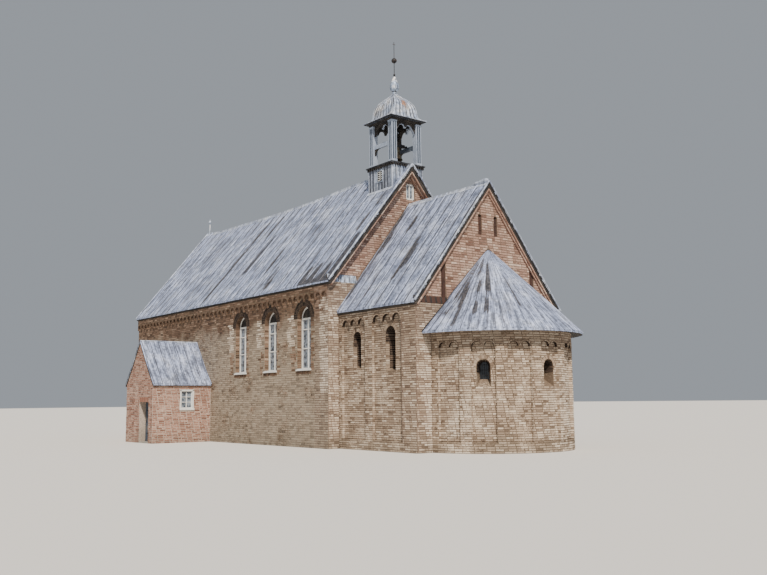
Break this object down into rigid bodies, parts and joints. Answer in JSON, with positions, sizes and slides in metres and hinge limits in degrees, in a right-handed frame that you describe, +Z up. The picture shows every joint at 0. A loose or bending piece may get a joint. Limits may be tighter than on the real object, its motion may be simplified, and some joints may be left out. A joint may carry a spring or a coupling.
{
  "type": "church building",
  "caption": "Brick church with nave, chancel and round apse under lead roofs, a side porch and an open bell turret on the ridge.",
  "frame": {"origin": "centre of the nave floor's underside, at ground level on the nave's axis", "axes": "+X east along the nave towards the apse, +Y north, +Z up"},
  "size_m": [25.75, 10.88, 16.83],
  "materials": {
    "brick": "weathered brick with remains of limewash",
    "gable_brick": "red-brown weathered brick",
    "porch_brick": "pinkish brick",
    "floor_stone": "matt stone",
    "lead": "weathered lead sheet",
    "dark_lead": "dark lead edge",
    "white_wood": "white paint",
    "grey_wood": "pale grey paint, weathered",
    "door_boards": "blue-grey paint",
    "window_glass": "dark leaded glass",
    "bronze": "dark patina",
    "iron": "dark forged iron"
  },
  "bodies": {
    "building": {"nave_south_wall_west": "brick", "nave_south_door_head": "brick", "nave_south_wall_east": "brick", "nave_north_wall": "brick", "nave_west_gable": "brick", "chancel_south_wall": "brick", "chancel_north_wall": "brick", "apse_wall_south": "brick", "apse_wall_south_east": "brick", "apse_wall_east": "brick", "apse_wall_north_east": "brick", "apse_wall_north": "brick", "nave_east_gable": "gable_brick", "chancel_east_gable": "gable_brick", "porch_east_wall": "porch_brick", "porch_west_wall": "porch_brick", "porch_gable_west_jamb": "porch_brick", "porch_gable_east_jamb": "porch_brick", "porch_gable_head": "porch_brick", "nave_floor": "floor_stone", "chancel_floor": "floor_stone", "apse_floor": "floor_stone", "porch_floor": "floor_stone", "nave_roof_south": "lead", "nave_roof_north": "lead", "chancel_roof_south": "lead", "chancel_roof_north": "lead", "apse_roof": "lead", "porch_roof_east": "lead", "porch_roof_west": "lead", "west_finial": "lead", "dome": "lead", "turret_deck": "dark_lead", "nave_window_south_1": "white_wood", "nave_window_south_2": "white_wood", "nave_window_south_3": "white_wood", "nave_window_north_1": "white_wood", "nave_window_north_2": "white_wood", "nave_window_north_3": "white_wood", "gable_window": "white_wood", "porch_window": "white_wood", "turret_base": "grey_wood", "lantern_bent_east": "grey_wood", "lantern_bent_west": "grey_wood", "lantern_rail_south": "grey_wood", "lantern_rail_north": "grey_wood", "lantern_ring_beam": "grey_wood", "chancel_window_south_1": "window_glass", "chancel_window_south_2": "window_glass", "chancel_window_north_1": "window_glass", "chancel_window_north_2": "window_glass", "apse_window_1": "window_glass", "apse_window_2": "window_glass", "apse_window_3": "window_glass", "spire": "iron"},
    "porch_door_leaf": {"porch_door": "door_boards"},
    "bell_swinging": {"bell_headstock": "iron", "bell": "bronze"},
    "clapper_swinging": {"clapper": "iron"}
  },
  "joints": [
    {"name": "porch_door_hinge", "type": "hinge", "parent": "building", "child": "porch_door_leaf", "pos_m": [-0.95, -6.39, 0.9], "axis": [0, 0, -1], "range_deg": [0, 90]},
    {"name": "bell_swing", "type": "hinge", "parent": "building", "child": "bell_swinging", "pos_m": [8.093, 0, 12.3053], "axis": [0, 1, 0], "range_deg": [-25, 25]},
    {"name": "clapper_swing", "type": "hinge", "parent": "bell_swinging", "child": "clapper_swinging", "pos_m": [8.093, 0, 12.1447], "axis": [0, 1, 0], "range_deg": [-20, 20]}
  ]
}
